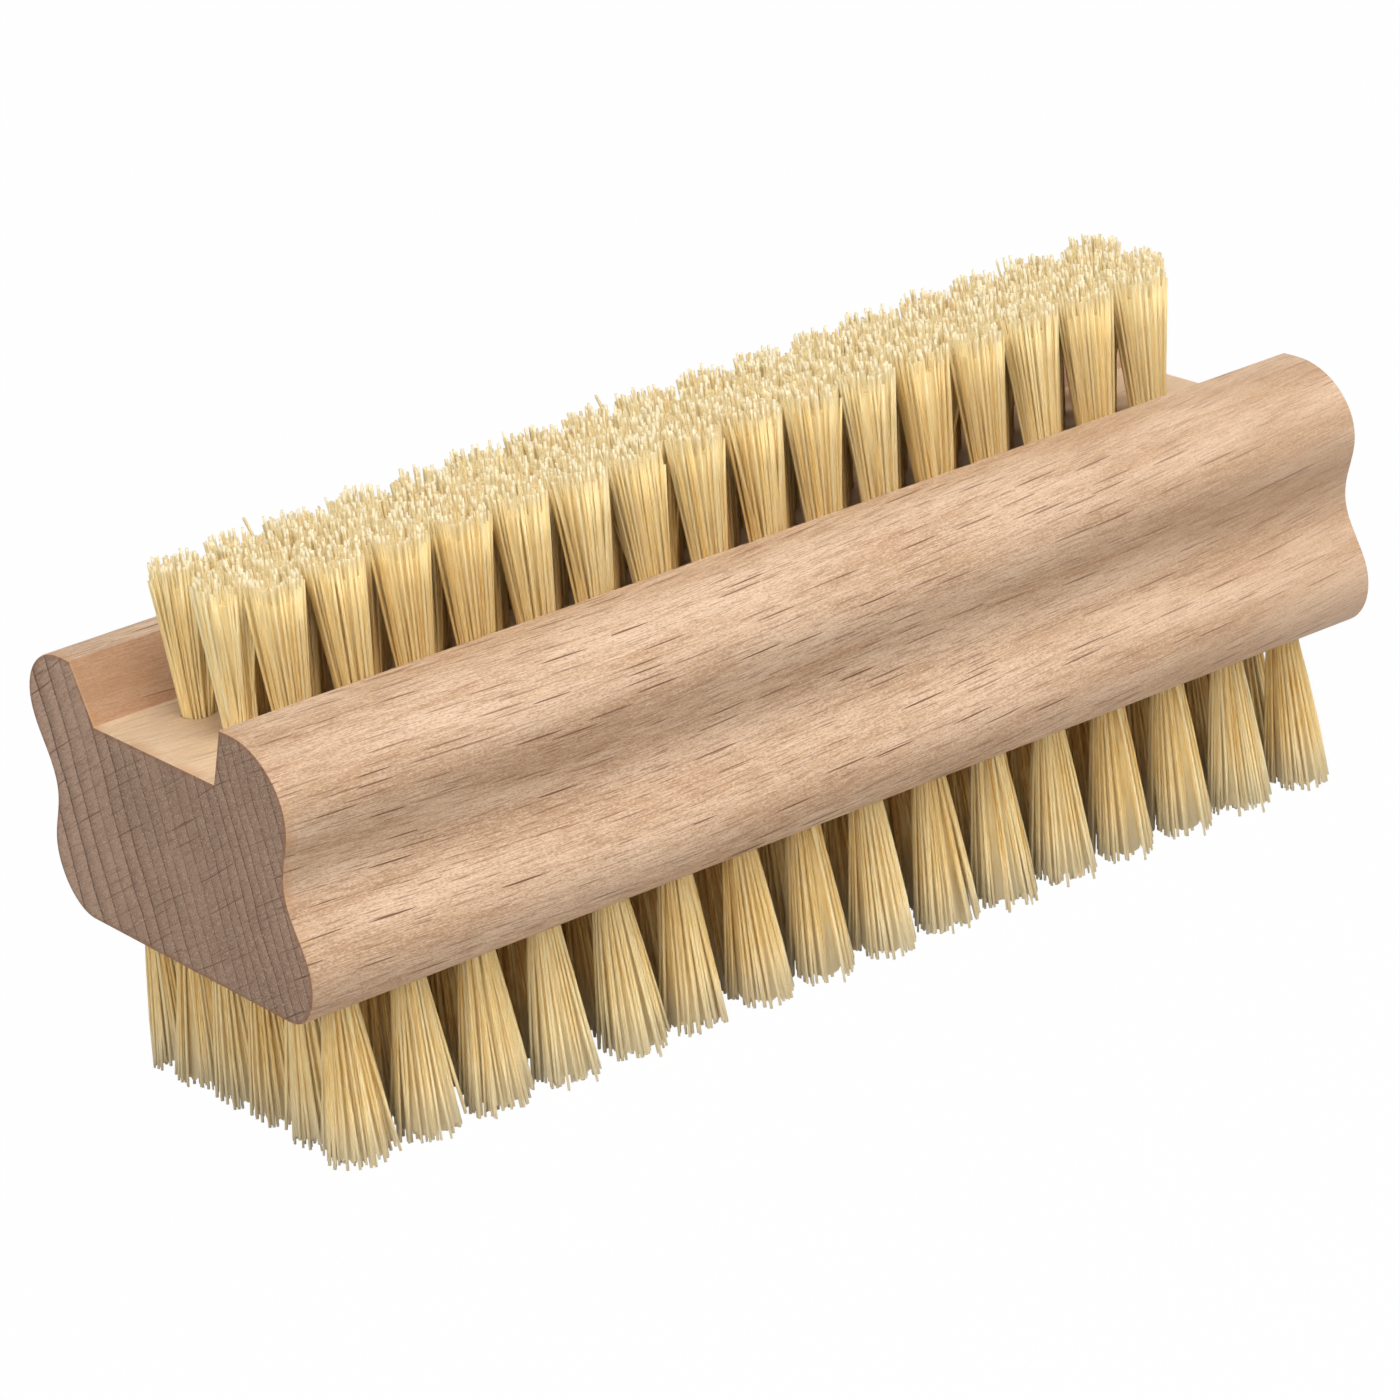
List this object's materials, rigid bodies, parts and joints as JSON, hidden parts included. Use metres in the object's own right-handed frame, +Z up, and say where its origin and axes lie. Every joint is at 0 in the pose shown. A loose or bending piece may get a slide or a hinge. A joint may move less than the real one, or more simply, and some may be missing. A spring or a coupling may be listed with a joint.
{
  "type": "nail brush",
  "caption": "Double-sided wooden nail brush: a waisted beech block with a narrow stiff-fibre brush in a channel along its top and a wide one on its underside.",
  "frame": {"origin": "middle of the footprint at the level of the lower bristle tips, which the brush stands on", "axes": "+X along the block, +Y across it, +Z up through the narrow top brush"},
  "size_m": [0.095, 0.0364, 0.0408],
  "materials": {
    "beech": "bare sanded wood",
    "tampico_fibre": "stiff natural fibre with trimmed tips",
    "anchor_steel": "plain flat wire"
  },
  "bodies": {
    "root": {"beech_block": "beech", "top_tuft_row_1": "tampico_fibre", "top_tuft_row_2": "tampico_fibre", "top_tuft_row_3": "tampico_fibre", "top_tuft_row_4": "tampico_fibre", "top_anchor_wire_1": "anchor_steel", "top_anchor_wire_2": "anchor_steel", "top_anchor_wire_3": "anchor_steel", "top_anchor_wire_4": "anchor_steel", "bottom_tuft_row_01": "tampico_fibre", "bottom_tuft_row_02": "tampico_fibre", "bottom_tuft_row_03": "tampico_fibre", "bottom_tuft_row_04": "tampico_fibre", "bottom_tuft_row_05": "tampico_fibre", "bottom_tuft_row_06": "tampico_fibre", "bottom_tuft_row_07": "tampico_fibre", "bottom_tuft_row_08": "tampico_fibre", "bottom_tuft_row_09": "tampico_fibre", "bottom_tuft_row_10": "tampico_fibre", "bottom_tuft_row_11": "tampico_fibre", "bottom_tuft_row_12": "tampico_fibre", "bottom_tuft_row_13": "tampico_fibre", "bottom_tuft_row_14": "tampico_fibre", "bottom_tuft_row_15": "tampico_fibre", "bottom_tuft_row_16": "tampico_fibre", "bottom_anchor_wire_01": "anchor_steel", "bottom_anchor_wire_02": "anchor_steel", "bottom_anchor_wire_03": "anchor_steel", "bottom_anchor_wire_04": "anchor_steel", "bottom_anchor_wire_05": "anchor_steel", "bottom_anchor_wire_06": "anchor_steel", "bottom_anchor_wire_07": "anchor_steel", "bottom_anchor_wire_08": "anchor_steel", "bottom_anchor_wire_09": "anchor_steel", "bottom_anchor_wire_10": "anchor_steel", "bottom_anchor_wire_11": "anchor_steel", "bottom_anchor_wire_12": "anchor_steel", "bottom_anchor_wire_13": "anchor_steel", "bottom_anchor_wire_14": "anchor_steel", "bottom_anchor_wire_15": "anchor_steel", "bottom_anchor_wire_16": "anchor_steel"}
  },
  "joints": []
}
